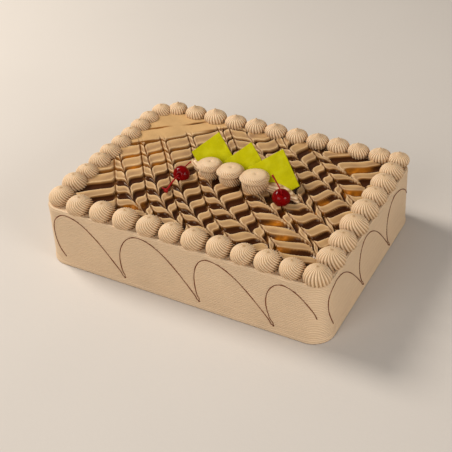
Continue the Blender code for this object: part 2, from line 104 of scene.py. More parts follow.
# How far each kind of shell is twisted, in degrees, and how far its tip stands up
SHELL_KINDS = {
    "front": (84.0, 0.4),
    "corner": (12.0, 0.4),
    "right": (34.0, 0.4),
    "back": (10.0, SHELL_PEAK),
    "left": (46.0, 0.5),
}
CROWN_LEAN = 0.9
NUB_OFF = (1.2, 0.8)
NUB_RADIUS = 1.3
NUB_RISE = 0.9
SHELL_UNEVEN = 0.18
FRONT_CORNER_SHELL = 11
BACK_CORNER_SHELL = 31
GAP = 0.3
FRONT_LINE_Y = -100.6
BACK_LINE_Y = 101.2
SIDE_LINE_X = 140.6
TOP_EDGE_INSET = 5.0
FRONT_LEFT_CORNER_BACK = 5.4
BACK_RIGHT_CORNER = (139.4, 102.4)
BACK_LEFT_CORNER_X = -136.6

# Feathered top
VALLEY_HEIGHT = 1.3
RIDGE_HEIGHT = 4.3
DRAG_ANGLE = -50.0
PUSH_REACH = 9.0
PUSH_WIDTH = 1.2
DRAG_REACH = 14.5
DRAG_WIDTH = 1.6
REACH_AT = [-95.0, -50.0, -10.0]
REACH_SHARE = [0.5, 0.62, 1.0]
CALM_FROM = 122.0
CALM_OVER = 38.0
COMB_FROM = 107.0
COMB_OVER = 16.0
ROW_STEP = 0.62
HALF_GAP_COLUMNS = 9
SHEET_REACH = 162.0

# Rosettes: centre x, centre y, lower radius, upper radius, height, height of the fold
ROSETTES = {
    "left": (-23.4, 1.8, 10.3, 12.7, 20.0, 12.4),
    "middle": (1.2, -0.3, 11.1, 13.6, 20.8, 13.2),
    "right": (28.6, -1.2, 12.5, 14.4, 20.6, 13.8),
}
ROSETTE_RIDGES = 30
ROSETTE_RIDGE_DEPTH = 0.055
# Rings of the lower tier, of the cap's side and of its dimpled crown: share of the height
# and share of the radius. The cap's side rings are evenly spaced, so each is a radius.
TIER_RINGS = [
    (0.00, 0.76), (0.07, 0.84), (0.16, 0.91), (0.28, 0.97), (0.42, 1.01),
    (0.58, 1.03), (0.72, 1.02), (0.84, 0.98), (0.93, 0.92), (0.98, 0.87),
]
CAP_SIDES = [0.79, 0.87, 0.93, 0.97, 0.995, 1.0, 0.99, 0.97, 0.94, 0.905, 0.86, 0.81]
CAP_SIDE_SHARE = 0.70
CROWN_RINGS = [
    (0.76, 0.755), (0.83, 0.675), (0.89, 0.58), (0.94, 0.48), (0.975, 0.375),
    (1.00, 0.28), (0.985, 0.19), (0.93, 0.10), (0.88, 0.05),
]
TIER_TURN = 34.0
CAP_TURN = 62.0
BEAD_STEP = 1.35
BEAD_DEPTH = 0.022

# Chocolate squares: top corner x, y, height over the cake, side, turn
PLATE_THICKNESS = 1.9
PLATE_LEAN = 36.9
PLATE_CUTS = 30
PLATE_CLEARANCE = 0.2
PLATE_EDGE = 0.28
PLATES = {
    "left": (-29.3, 33.4, 34.6, 36.2, 46.9),
    "middle": (9.3, 29.9, 34.2, 34.8, 47.1),
    "right": (45.6, 27.5, 36.6, 41.0, 40.2),
}

# Cherries: centre x, y, height of the centre over the cake, radius
CHERRIES = {
    "left": (-47.7, -14.3, 6.9, 8.7),
    "right": (63.3, -13.6, 9.5, 9.1),
}
# Which way the stem's end of each cherry points
CHERRY_POLES = {"left": (0.17, -0.91, 0.37), "right": (0.24, -0.42, 0.88)}
DIMPLE_DEPTH = 1.7
DIMPLE_RADIUS = 2.3
CHERRY_FLATNESS = 0.95
STEM_SINK = 0.9
# Stems: x and y from the centre of the cherry, height over the cake, radius. A stem whose
# first place is None starts in the cherry's dimple.
STEMS = {
    "left": [
        (None, 0.95), ((1.0, -14.2, 9.8), 0.8), ((1.0, -22.4, 8.5), 0.95),
        ((1.6, -29.0, 7.6), 1.0), ((1.8, -31.6, 7.5), 1.7), ((2.2, -34.0, 7.4), 2.2),
    ],
    "left_prong": [
        ((2.0, -31.6, 7.6), 1.1), ((-0.4, -32.6, 8.7), 0.9), ((-2.6, -32.9, 9.8), 0.6),
    ],
    "left_tip": [
        ((-1.4, 8.0, 9.2), 0.75), ((0.2, 13.2, 11.0), 0.6), ((1.4, 17.2, 11.8), 0.75),
    ],
    "right": [
        (None, 0.85), ((1.3, -4.2, 20.8), 0.65), ((-4.3, -0.9, 26.2), 0.7),
        ((-9.9, 1.2, 32.0), 1.05),
    ],
}

# Piped cream under the squares: x, y, height over the cake, radius
BEDS = {
    "right": [
        (39.0, 3.4, 4.6, 4.6), (46.0, 3.6, 4.6, 6.2), (54.0, 3.2, 4.2, 6.2),
        (62.0, 2.2, 3.4, 5.4), (70.0, -0.8, 2.2, 3.9), (77.5, -5.0, 1.0, 1.8),
    ],
    "left": [
        (-53.0, 17.5, 1.6, 2.6), (-47.5, 14.0, 2.4, 4.9),
        (-41.5, 9.6, 2.6, 4.9), (-36.5, 5.4, 2.4, 3.6),
    ],
}
BED_RIDGE_PACE = 3.0


# How many waves cross in an uneven surface
WAVES = 5


# Handling
def object_mode():
    if bpy.context.object and bpy.context.object.mode != "OBJECT":
        bpy.ops.object.mode_set(mode="OBJECT")


def nothing_selected():
    object_mode()
    bpy.ops.object.select_all(action="DESELECT")


def take(obj):
    nothing_selected()
    obj.select_set(True)
    bpy.context.view_layer.objects.active = obj


def fresh(add, **settings):
    """The object that the operator adds, alone in hand."""
    nothing_selected()
    add(**settings)
    return bpy.context.object


def edit(obj):
    take(obj)
    bpy.ops.object.mode_set(mode="EDIT")
    bpy.ops.mesh.select_mode(type="VERT")
    bpy.ops.mesh.select_all(action="DESELECT")


def pick(obj, wanted, kind):
    """Select the edges or faces of the mesh in hand that pass the test."""
    bpy.ops.mesh.select_mode(type=kind)
    bpy.ops.mesh.select_all(action="DESELECT")
    bm = bmesh.from_edit_mesh(obj.data)
    for item in bm.edges if kind == "EDGE" else bm.faces:
        if wanted(item):
            item.select_set(True)
    bmesh.update_edit_mesh(obj.data)


def span_along(edge, axis):
    return abs(edge.verts[0].co[axis] - edge.verts[1].co[axis])


def joined(parts):
    nothing_selected()
    for part in parts:
        part.select_set(True)
    bpy.context.view_layer.objects.active = parts[0]
    bpy.ops.object.join()
    return parts[0]


def weld():
    """Merge the vertices that lie on one another in the mesh in hand."""
    bpy.ops.mesh.select_all(action="SELECT")
    bpy.ops.mesh.remove_doubles(threshold=0.00001)


def places(obj):
    co = np.empty(len(obj.data.vertices) * 3)
    obj.data.vertices.foreach_get("co", co)
    return co.reshape(-1, 3) / MM


def block(length, width, height, middle):
    """A plain block with its middle at this height."""
    piece = fresh(bpy.ops.mesh.primitive_cube_add, size=1.0, location=(0, 0, middle * MM))
    piece.scale = (length * MM, width * MM, height * MM)
    apply_place(piece)
    return piece


def set_places(obj, co):
    obj.data.vertices.foreach_set("co", (co * MM).ravel())
    obj.data.update()


def mask(obj, name, values):
    layer = obj.data.attributes.get(name) or obj.data.attributes.new(name, "FLOAT", "POINT")
    layer.data.foreach_set("value", np.asarray(values, dtype=np.float32).ravel())


def apply_place(obj):
    take(obj)
    bpy.ops.object.transform_apply(location=True, rotation=True, scale=True)


def hand_over(obj, name, nodes, finish):
    """Name a finished piece, give it its finish, hang it under the root body and hide the parts
    that it replaces.
    """
    apply_place(obj)
    bpy.ops.object.mode_set(mode="EDIT")
    bpy.ops.mesh.select_all(action="SELECT")
    bpy.ops.mesh.normals_make_consistent(inside=False)
    bpy.ops.object.mode_set(mode="OBJECT")
    bpy.ops.object.shade_smooth()
    obj.name = name
    obj.data.name = name
    obj.data.materials.clear()
    obj.data.materials.append(finish)
    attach(obj, "root")
    if nodes:
        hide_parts(*nodes)


def waver(x, y, size, seed):
    """Soft unevenness between -1 and 1, made of a few crossing waves."""
    draw = np.random.default_rng(seed)
    total = np.zeros_like(np.asarray(x, dtype=float))
    for _ in range(WAVES):
        way = draw.uniform(0, 2 * math.pi)
        length = size * draw.uniform(0.7, 1.5)
        phase = draw.uniform(0, 2 * math.pi)
        along = np.asarray(x) * math.cos(way) + np.asarray(y) * math.sin(way)
        total = total + np.sin(along * 2 * math.pi / length + phase)
    return total / WAVES


def soft_step(t):
    """Rises softly from 0 to 1 while t does."""
    t = np.clip(t, 0.0, 1.0)
    return t * t * (3.0 - 2.0 * t)


def bell(distance, width):
    """1 at no distance, falling away softly over the width."""
    return np.exp(-((distance / width) ** 2))


# Finishes
def plug(tree, made, inputs):
    """Give a shader node's inputs a plain value each, or a link from a socket."""
    for key, value in inputs.items():
        if isinstance(value, bpy.types.NodeSocket):
            tree.links.new(value, made.inputs[key])
        else:
            made.inputs[key].default_value = value


def node(tree, kind, inputs=None, **settings):
    """A new shader node with its settings and inputs."""
    made = tree.nodes.new(kind)
    for key, value in settings.items():
        setattr(made, key, value)
    plug(tree, made, inputs or {})
    return made


def build_grain():
    """Mottling and fine tool marks, for all the creams."""
    group = bpy.data.node_groups.new("cream_grain", "ShaderNodeTree")
    sockets = (
        ("Colour", "INPUT", "Color"),
        ("Mottle", "INPUT", "Float"),
        ("Patch size", "INPUT", "Float"),
        ("Grain size", "INPUT", "Float"),
        ("Stretch", "INPUT", "Vector"),
        ("Colour", "OUTPUT", "Color"),
        ("Height", "OUTPUT", "Float"),
    )
    for name, way, kind in sockets:
        group.interface.new_socket(name, in_out=way, socket_type="NodeSocket" + kind)
    enter = node(group, "NodeGroupInput").outputs
    where = node(group, "ShaderNodeTexCoord").outputs["Object"]
    ends = {0: where, 1: enter["Stretch"]}
    stretch = node(group, "ShaderNodeVectorMath", ends, operation="MULTIPLY")
    ends = {"Vector": where, "Scale": enter["Patch size"], "Detail": 3.0}
    patches = node(group, "ShaderNodeTexNoise", ends)
    ends = {"Vector": stretch.outputs[0], "Scale": enter["Grain size"], "Detail": 4.0}
    grain = node(group, "ShaderNodeTexNoise", {**ends, "Roughness": 0.6})
    ends = {0: 1.0, 1: enter["Mottle"]}
    low = node(group, "ShaderNodeMath", ends, operation="SUBTRACT").outputs[0]
    high = node(group, "ShaderNodeMath", ends, operation="ADD").outputs[0]
    ends = {"Value": patches.outputs["Fac"], "From Min": 0.3, "From Max": 0.7}
    spread = node(group, "ShaderNodeMapRange", {**ends, "To Min": low, "To Max": high})
    ends = {0: enter["Colour"], "Scale": spread.outputs["Result"]}
    tint = node(group, "ShaderNodeVectorMath", ends, operation="SCALE")
    ends = {"Colour": tint.outputs[0], "Height": grain.outputs["Fac"]}
    node(group, "NodeGroupOutput", ends)
    return group


GRAIN = build_grain()


def blank_finish(name, colour, roughness, coat=0.0, under=0.0, shine=0.3):
    mat = bpy.data.materials.new(name)
    mat.use_nodes = True
    mat.diffuse_color = (*colour, 1.0)
    shader = mat.node_tree.nodes["Principled BSDF"]
    base = {
        "Base Color": (*colour, 1.0),
        "Roughness": roughness,
        "Specular IOR Level": shine,
        "Coat Weight": coat,
        "Coat Roughness": 0.12,
        "Subsurface Weight": under,
        "Subsurface Radius": (0.0009, 0.0007, 0.0005),
        "Subsurface Scale": 1.0,
    }
    plug(mat.node_tree, shader, base)
    return mat, mat.node_tree, shader


def add_grain(tree, shader, colour, mottle, patch, grain, depth, stretch=(1.0, 1.0, 1.0)):
    """Mottle a colour, a socket or a plain value, and roughen the surface."""
    if isinstance(colour, tuple):
        colour = (*colour, 1.0)
    ends = {"Colour": colour, "Mottle": mottle, "Patch size": patch, "Grain size": grain}
    made = node(tree, "ShaderNodeGroup", node_tree=GRAIN)
    plug(tree, made, {**ends, "Stretch": stretch})
    ends = {"Strength": 1.0, "Distance": depth, "Height": made.outputs["Height"]}
    bump = node(tree, "ShaderNodeBump", ends)
    plug(tree, shader, {"Base Color": made.outputs["Colour"], "Normal": bump.outputs["Normal"]})


def mixed(tree, share, first, second):
    """A colour between two, by a socket; each colour is a socket or a plain value."""
    mix = node(tree, "ShaderNodeMix", data_type="RGBA")
    tree.links.new(share, mix.inputs["Factor"])
    for key, colour in (("A", first), ("B", second)):
        socket = [s for s in mix.inputs if s.name == key and s.type == "RGBA"][0]
        if isinstance(colour, tuple):
            socket.default_value = (*colour, 1.0)
        else:
            tree.links.new(colour, socket)
    return [s for s in mix.outputs if s.type == "RGBA"][0]


def own_mask(tree, name):
    """The value that the piece carries under this name."""
    made = node(tree, "ShaderNodeAttribute", attribute_name=name)
    return made.outputs["Fac"]


# Colours, as linear red, green and blue
CREAM = (0.83, 0.61, 0.39)
# Painted shade of the cream, for its grooves, the feet of the shells and the fold of the rosettes
CREAM_PAINTED_SHADE = (0.37, 0.20, 0.080)
ICING = (0.755, 0.54, 0.34)
TAN = (0.55, 0.335, 0.145)
TAN_LIP_AND_HIGHLIGHT = (0.76, 0.54, 0.31)
TAN_PAINTED_SHADE = (0.33, 0.185, 0.090)
CHOCOLATE = (0.044, 0.0105, 0.0014)
STAIN = (0.27, 0.098, 0.013)
CARAMEL = (0.48, 0.155, 0.008)
GREEN = (0.465, 0.43, 0.0004)
GREEN_LIGHT = (0.52, 0.49, 0.008)
CHERRY = (0.17, 0.0004, 0.0008)
STALK = (0.30, 0.004, 0.006)
LINE = (0.155, 0.040, 0.012)
FLOOR = (0.62, 0.57, 0.52)
# Level marks of the scraper: how close together, how wavy, how deep in metres
MARK_SCALE = 155.0
MARK_WAVINESS = 0.6
MARK_DEPTH = 0.00058
# Roughness of the chocolate and of the mocha stripes
GLOSSY = 0.17
SATIN = 0.5


def cream_finish():
    mat, tree, shader = blank_finish("border_cream", CREAM, 0.5, under=0.2)
    # Painted shade: the hollow mask darkens the cream in the grooves and creases
    colour = mixed(tree, own_mask(tree, "hollow"), CREAM, CREAM_PAINTED_SHADE)
    add_grain(tree, shader, colour, 0.05, 60.0, 1400.0, 0.00012)
    return mat


def icing_finish():
    """Smooth icing with the fine level marks of the scraper."""
    mat, tree, shader = blank_finish("side_icing", ICING, 0.55, under=0.05)
    add_grain(tree, shader, ICING, 0.05, 18.0, 900.0, 0.00012, (0.22, 0.22, 1.0))
    where = node(tree, "ShaderNodeTexCoord").outputs["Object"]
    ends = {"Vector": where, "Scale": MARK_SCALE, "Distortion": MARK_WAVINESS}
    ends = {**ends, "Detail": 1.0, "Detail Scale": 0.16}
    marks = node(tree, "ShaderNodeTexWave", ends, wave_type="BANDS", bands_direction="Z")
    ends = {"Strength": 1.0, "Distance": MARK_DEPTH, "Height": marks.outputs["Fac"]}
    scraped = node(tree, "ShaderNodeBump", ends)
    grained = shader.inputs["Normal"].links[0].from_node
    plug(tree, grained, {"Normal": scraped.outputs["Normal"]})
    return mat


def marble_finish():
    """Mocha stripes in dark chocolate; the masks say where each colour shows, where a highlight
    is partly painted on the pale edges and where shade is painted in the middle of the stripes.
    """
    mat, tree, shader = blank_finish("marbled_mocha", TAN, 0.4)
    # Pale lips and edges: partly paler mocha drawn along the comb, partly a painted highlight on
    # the raised rims
    tan = mixed(tree, own_mask(tree, "lip"), TAN, TAN_LIP_AND_HIGHLIGHT)
    # Painted shade in the sunken middle of each stripe
    tan = mixed(tree, own_mask(tree, "shaded_middle"), tan, TAN_PAINTED_SHADE)
    both = mixed(tree, own_mask(tree, "tan"), CHOCOLATE, tan)
    both = mixed(tree, own_mask(tree, "stain"), both, STAIN)
    both = mixed(tree, own_mask(tree, "caramel"), both, CARAMEL)
    add_grain(tree, shader, both, 0.09, 45.0, 420.0, 0.0002)
    ends = {"Value": own_mask(tree, "tan"), "To Min": GLOSSY, "To Max": SATIN}
    gloss = node(tree, "ShaderNodeMapRange", ends)
    ends = {"Specular Tint": (1.0, 0.76, 0.54, 1.0), "Roughness": gloss.outputs["Result"]}
    plug(tree, shader, ends)
    return mat


def green_finish():
    mat, tree, shader = blank_finish("green_chocolate", GREEN, 0.5, shine=0.04)
    where = node(tree, "ShaderNodeTexCoord").outputs["Object"]
    cloud = node(tree, "ShaderNodeTexNoise", {"Vector": where, "Scale": 130.0, "Detail": 3.0})
    ends = {"Value": cloud.outputs["Fac"], "From Min": 0.45, "From Max": 0.75}
    spread = node(tree, "ShaderNodeMapRange", ends)
    colour = mixed(tree, spread.outputs["Result"], GREEN, GREEN_LIGHT)
    add_grain(tree, shader, colour, 0.08, 90.0, 700.0, 0.0001)
    return mat


def cherry_finish():
    mat, tree, shader = blank_finish("cherry_red", CHERRY, 0.3, coat=0.22, shine=0.02)
    plug(tree, shader, {"Coat Roughness": 0.05})
    add_grain(tree, shader, CHERRY, 0.3, 160.0, 500.0, 0.0002)
    return mat


def plain_finish(name, colour, roughness, shine, mottle, patch, grain):
    """One colour, a little mottled."""
    mat, tree, shader = blank_finish(name, colour, roughness, shine=shine)
    add_grain(tree, shader, colour, mottle, patch, grain, 0.0001)
    return mat


cream = cream_finish()
icing = icing_finish()
marble = marble_finish()
green = green_finish()
red = cherry_finish()
stalk = plain_finish("stem_red", STALK, 0.4, 0.2, 0.2, 300.0, 900.0)
line_brown = plain_finish("chocolate_line", LINE, 0.6, 0.04, 0.2, 400.0, 900.0)


# Body
def stand_back(height):
    """How far the side stands back from the foot at this height."""
    heights, backs = zip(*SIDE_PROFILE)
    return np.interp(height, heights, backs)


def iced_block():
    """A block with round upright corners, cut into levels, with a rim round its top."""
    body = block(FOOT_LENGTH, FOOT_WIDTH, BODY_HEIGHT, BODY_HEIGHT / 2)
    edit(body)
    pick(body, lambda e: span_along(e, 2) > 0.01, "EDGE")
    bpy.ops.mesh.bevel(offset=FOOT_RADIUS * MM, segments=CORNER_SEGMENTS)
    pick(body, lambda e: span_along(e, 0) > 0.2, "EDGE")
    bpy.ops.mesh.subdivide(number_cuts=LENGTH_CUTS)
    pick(body, lambda e: span_along(e, 1) > 0.1, "EDGE")
    bpy.ops.mesh.subdivide(number_cuts=WIDTH_CUTS)
    for level in range(1, SIDE_LEVELS):
        height = BODY_HEIGHT * level / SIDE_LEVELS
        bpy.ops.mesh.select_all(action="SELECT")
        bpy.ops.mesh.bisect(plane_co=(0, 0, height * MM), plane_no=(0, 0, 1))
    pick(body, lambda f: f.normal.z > 0.9, "FACE")
    bpy.ops.mesh.dissolve_faces()
    for thickness in RIM_INSETS:
        bpy.ops.mesh.inset(thickness=thickness * MM)
    object_mode()
    return body


def iced_body():
    """The block with its side drawn in above the foot, rippled by the scraper."""
    body = iced_block()
    co = places(body)
    inner = np.array([FOOT_LENGTH / 2 - FOOT_RADIUS, FOOT_WIDTH / 2 - FOOT_RADIUS])
    out = co[:, :2] - np.clip(co[:, :2], -inner, inner)
    reach = np.linalg.norm(out, axis=1)
    on_wall = reach > FOOT_RADIUS - 0.05
    out = out / np.maximum(reach, 0.001)[:, None]
    around = np.where(np.abs(out[:, 1]) > 0.7, co[:, 0], co[:, 1])
    height = co[:, 2]
    wander = 2.2 * waver(around, height, 60.0, 3)
    ripple = RIPPLE_DEPTH * np.sin(height * 2 * math.pi / RIPPLE_STEP + wander)
    ripple += UNEVEN_DEPTH * waver(around, height * 3.0, 34.0, 4)
    near_foot = soft_step(height / 6.0)
    back = stand_back(height) - ripple * near_foot + RIPPLE_ROOM * near_foot
    co[:, :2] -= out * (back * on_wall)[:, None]
    rim = (height > BODY_HEIGHT - 0.01) & ~on_wall
    depth = FOOT_RADIUS - reach
    lip = LIP_RISE + LIP_WAVE * waver(co[:, 0], co[:, 1], 13.0, 8)
    co[:, 2] += np.where(rim & (depth < LIP_WIDTH), lip, 0.0)
    set_back = np.where(rim & (depth < RIM_WIDTH), RIM_BACK, 0.0)
    co[:, :2] -= out * set_back[:, None]
    set_places(body, co)
    hand_over(body, "iced_body", ["cake_body"], icing)


# Piped forms
# A ridge has four corners round the form: its crest, a flank, the hollow, a flank
CORNERS_PER_RIDGE = 4
# How much painted shade each corner gets: none on the crest, most in the hollow
HOLLOW_SHADE_BY_CORNER = [0.0, 0.35, 1.0, 0.35]


def stretch_star(piece, corner, depth):
    """Pull the crests of a round outline out and its hollows in."""
    bm = bmesh.from_edit_mesh(piece.data)
    bm.verts.ensure_lookup_table()
    crest, flanks, hollow = (0,), (1, 3), (2,)
    for kinds, size in ((crest, 1.0 + depth), (flanks, 1.0 + 0.5 * depth), (hollow, 1.0 - depth)):
        bpy.ops.mesh.select_all(action="DESELECT")
        for number in np.nonzero(np.isin(corner, kinds))[0]:
            bm.verts[int(number)].select_set(True)
        bmesh.update_edit_mesh(piece.data)
        bpy.ops.transform.resize(value=(size, size, 1.0), center_override=(0, 0, 0))


def piped_form(ridges, depth, rings, tip):
    """A ridged form raised ring by ring from a star outline, closed at its tip.
    Rings are height, radius and how far the star has turned, in degrees."""
    count = ridges * CORNERS_PER_RIDGE
    height, radius, turned = rings[0]
    circle = bpy.ops.mesh.primitive_circle_add
    piece = fresh(circle, vertices=count, radius=radius * MM, fill_type="NGON")
    angle = np.arctan2(places(piece)[:, 1], places(piece)[:, 0])
    corner = np.round(angle / (2 * math.pi / count)).astype(int) % CORNERS_PER_RIDGE
    mask(piece, "hollow", np.choose(corner, HOLLOW_SHADE_BY_CORNER))
    edit(piece)
    stretch_star(piece, corner, depth)
    bpy.ops.mesh.select_all(action="SELECT")
    bpy.ops.transform.translate(value=(0, 0, height * MM))
    for upper, wider, turn in rings[1:]:
        rise = (upper - height) * MM
        bpy.ops.mesh.extrude_region_move(TRANSFORM_OT_translate={"value": (0, 0, rise)})
        grow = wider / radius
        centre = (0, 0, upper * MM)
        bpy.ops.transform.resize(value=(grow, grow, 1.0), center_override=centre)
        swing = math.radians(turn - turned)
        bpy.ops.transform.rotate(value=swing, orient_axis="Z", center_override=centre)
        height, radius, turned = upper, wider, turn
    bpy.ops.mesh.extrude_region_move(
        TRANSFORM_OT_translate={"value": (0, 0, (tip - height) * MM)}
    )
    bpy.ops.mesh.merge(type="CENTER")
    object_mode()
    return piece


def dome_rings(twist, peak):
    """The rings of a shell from the foot up to the crown, and up the pulled peak."""
    tall = MODEL_RADIUS * SHELL_TALLNESS
    peaked = peak > 1.0
    foot, belly, last = PEAKED_DOME if peaked else ROUND_DOME
    shape = []
    for k in range(UNDER_RINGS):
        share = k / UNDER_RINGS
        up = belly * share + (1.0 - share) * GAP / tall
        shape.append((up, 1.0 - (1.0 - foot) * (1.0 - share) ** 2))
    for k in range(OVER_RINGS):
        angle = math.radians(last * k / (OVER_RINGS - 1))
        shape.append((belly + (1.0 - belly) * math.sin(angle), math.cos(angle) ** 0.97))
    if peaked:
        shape += PEAK_RINGS
    return [(up * tall, wide * MODEL_RADIUS, twist * up) for up, wide in shape]


def shell_models():
    """One model for each kind of shell."""
    made = {}
    for key, (twist, peak) in SHELL_KINDS.items():
        tip = MODEL_RADIUS * SHELL_TALLNESS + peak - 0.05
        made[key] = piped_form(SHELL_RIDGES, RIDGE_DEPTH, dome_rings(twist, peak), tip)
        made[key].name = "shell_model_" + key
    return made


def shell_radius(ring, number):
    """Wider where the neighbours leave more room; no two are piped quite alike."""
    x, y, run = ring[number]
    before = math.dist((x, y), ring[number - 1][:2])
    after = math.dist((x, y), ring[(number + 1) % len(ring)][:2])
    radius = SHELL_LEAST_RADIUS + SHELL_ROOM_SHARE * (before + after) / 4
    if run == "back":
        radius -= PEAKED_NARROWER
    return radius * (1.0 + 0.025 * math.sin(number * 2.3))


def border():
    """Centres in order round the cake, each with its run."""
    front = [-137.3, -111.7, -85.1, -57.8, -31.9, -7.7, 17.3, 43.3, 67.9, 91.6, 115.9, 139.3]
    right = [-73.6, -46.9, -19.6, 7.2, 32.3, 56.2, 79.5]
    back = [119.8, 96.8, 74.2, 50.8, 26.7, 2.3, -21.9, -46.7, -72.0, -96.8, -120.9]
    left = [91.8, 71.9, 53.3, 34.2, 14.9, -5.2, -25.3, -47.8, -69.6]
    ring = [(x, FRONT_LINE_Y, "front") for x in front]
    ring[0] = (front[0], FRONT_LINE_Y + FRONT_LEFT_CORNER_BACK, "front")
    ring += [(SIDE_LINE_X, y, "right") for y in right]
    ring += [(*BACK_RIGHT_CORNER, "back")]
    ring += [(x, BACK_LINE_Y, "back") for x in back]
    ring += [(-SIDE_LINE_X, y, "left") for y in left]
    ring[BACK_CORNER_SHELL] = (BACK_LEFT_CORNER_X, left[0], "left")
    return ring


def held_back(co, centre, others):
    """Pressed flat half way to each neighbour."""
    for other in others:
        way = np.array([other[0] - centre[0], other[1] - centre[1]])
        span = np.linalg.norm(way)
        way = way / span
        along = (co[:, :2] - np.array(centre[:2])) @ way
        over = np.maximum(along - (span / 2 - 0.05), 0.0)
        co[:, :2] -= over[:, None] * way
    return co


def fade_hollow_shade(piece, share, base):
    """The painted shade in the grooves grows paler where the share is low; the base adds painted
    shade over all of it.
    """
    layer = piece.data.attributes["hollow"]
    hollow = np.empty(len(piece.data.vertices), dtype=np.float32)
    layer.data.foreach_get("value", hollow)
    mask(piece, "hollow", np.clip(hollow * share + base, 0.0, 1.0))


def copy_of(model):
    take(model)
    bpy.ops.object.duplicate()
    return bpy.context.object


def uneven_shell(shell, co, number, centre, run, radius):
    """Lean the crown, raise its nub, waver the sides and paint shade on the lower part, darkest
    at the foot.
    """
    x, y = centre
    rise = (co[:, 2] - BODY_HEIGHT) / (radius * SHELL_TALLNESS)
    lean = CROWN_LEAN * soft_step(rise - 0.25)
    co[:, 0] += lean * math.sin(number * 1.7)
    co[:, 1] += lean * math.cos(number * 2.9)
    if run != "back":
        from_nub = np.hypot(co[:, 0] - x + NUB_OFF[0], co[:, 1] - y + NUB_OFF[1])
        co[:, 2] += NUB_RISE * bell(from_nub, NUB_RADIUS) * (rise > 0.5)
    above_foot = soft_step(rise / 0.4)
    co[:, 0] += SHELL_UNEVEN * waver(co[:, 1], co[:, 2], 13.0, number) * above_foot
    co[:, 1] += SHELL_UNEVEN * waver(co[:, 0], co[:, 2], 13.0, number + 50) * above_foot
    set_places(shell, co)
    # Painted shade at the foot, fading out up to three quarters of the shell's height
    fade_hollow_shade(shell, 1.0, 0.35 * (1.0 - soft_step(rise / 0.75)))


def shells():
    models = shell_models()
    ring = border()
    draw = np.random.default_rng(12)
    for number, (x, y, run) in enumerate(ring):
        shell = copy_of(models["corner" if number == FRONT_CORNER_SHELL else run])
        radius = shell_radius(ring, number)
        reach = radius + FLUTE_HALF_DEPTH - FLUTE_CLEARANCE
        wide = reach / (1.0 + RIDGE_DEPTH) / MODEL_RADIUS
        shell.scale = (wide, wide, radius / MODEL_RADIUS)
        shell.rotation_euler = (0.0, 0.0, draw.uniform(0, 2 * math.pi))
        shell.location = (x * MM, y * MM, BODY_HEIGHT * MM)
        apply_place(shell)
        near = [ring[number - 1], ring[(number + 1) % len(ring)]]
        co = held_back(places(shell), (x, y), near)
        uneven_shell(shell, co, number, (x, y), run, radius)
        name = "border_shell_%02d" % (number + 1)
        hand_over(shell, "piped_shell_%02d" % (number + 1), [name], cream)
    for model in models.values():
        bpy.data.objects.remove(model)


# Feathered top
# Each comb line: place across at the middle, slope above and below the middle,
# bend, where it starts and ends, way of the pull
COMB = [
    (-114.5, -0.08, -0.08, 0, -80, 10, -1),
    (-99, 0.05, 0.05, 0.0072, -65, 35, 1),
    (-84.3, -0.06, -0.06, 0.0041, -95, 50, -1),
    (-72.8, 0.02, 0.02, 0.0031, -95, 60, 1),
    (-58.6, -0.045, -0.045, 0.0018, -62, 75, -1),
    (-50.3, 0.01, 0.01, 0.0021, -95, 85, 1),
    (-30.4, -0.05, -0.05, 0.0017, -80, 100, -1),
    (-19.8, 0.02, 0.02, 0.0024, -95, 110, 1),
    (8, 0.00, -0.05, 0.0012, -95, 112, -1),
    (14.5, 0.06, 0.20, 0.0007, -40, 122, 1),
    (26, 0.10, 0.20, 0.0002, -60, 125, -1),
    (50, 0.17, 0.16, 0.0006, -80, 104, 1),
    (66.5, 0.06, 0.01, 0.00085, -60, 106, -1),
    (81, 0.23, 0.28, 0, -45, 80, 1),
    (97.3, 0.10, 0.09, 0.0007, -35, 75, -1),
    (109, 0.42, 0.27, 0.0015, -18, 48, 1),
]
# Stripes: middle and half width along the drag direction
STRIPES = [
    (-124, 27), (-84.3, 9.2), (-61.8, 8.6), (-39.6, 8), (-13.5, 7), (10.6, 6.6),
    (31.4, 6.2), (52.8, 6.2), (73.4, 6.9), (96.2, 7.6), (117.4, 6.8), (137, 6),
]
DRIFT_AT = [-130, -40, -10, 16, 36, 52, 75, 90, 105, 135]
DRIFT_BY = [1, 0, -1.5, -5, 4, 10.8, 0.8, -6, -8, -1]
# Caramel patches: across and along the drag direction, and how far each reaches
CARAMEL_SPOTS = [
    (-90, -73, 9, 4), (-65, -72, 8, 3.5), (-90, -51, 9, 3), (-69, -51, 5, 3),
    (30, 81, 15, 4), (30, 104.5, 15, 3), (30, 120, 15, 4), (60, 77, 14, 3),
    (128, 15, 14, 5), (-100, 18, 10, 6), (80, 62, 6, 5), (112, 50, 10, 8),
]
# Dark streaks in the calm corner: across, along, half length, half width
STREAKS = [
    (-56, -122, 9, 1.2), (-12, -120, 9, 1.3), (-74, -97.5, 14, 1.1), (20, -101, 20, 1.1),
]
STREAK_DEPTH = 1.2
# How much of a stripe's near edge is brown, along the drag direction
CUT_AT = [-50.0, 10.0]
CUT_BY = [0.4, 1.9]
# The slopes of a stripe start this far beyond it, and how long its two slopes are
SLOPE_START = 1.6
FAR_SLOPE = 3.2
NEAR_SLOPE = 4.2
CALM_STRIPE = 20.0
# Grooves of the comb, and the lips beside them
GROOVE_WIDTH = 0.55
LIP_OFF = 1.35
LIP_ROUND = 0.65
LIP_HEIGHT = 0.45
EDGE_HEIGHT = 0.30
DULL_DEPTH = 0.35
SMEAR_WIDTH = 1.6


def comb_places(u):
    """Where every comb line runs at each row; one row of the result for each line."""
    found = []
    for place, above, below, bend, start, end, _ in COMB:
        held = np.clip(u, start, end)
        down = np.maximum(held, 0.0)
        found.append(place + above * np.minimum(held, 0.0) + below * down + bend * down * down)
    return np.array(found)


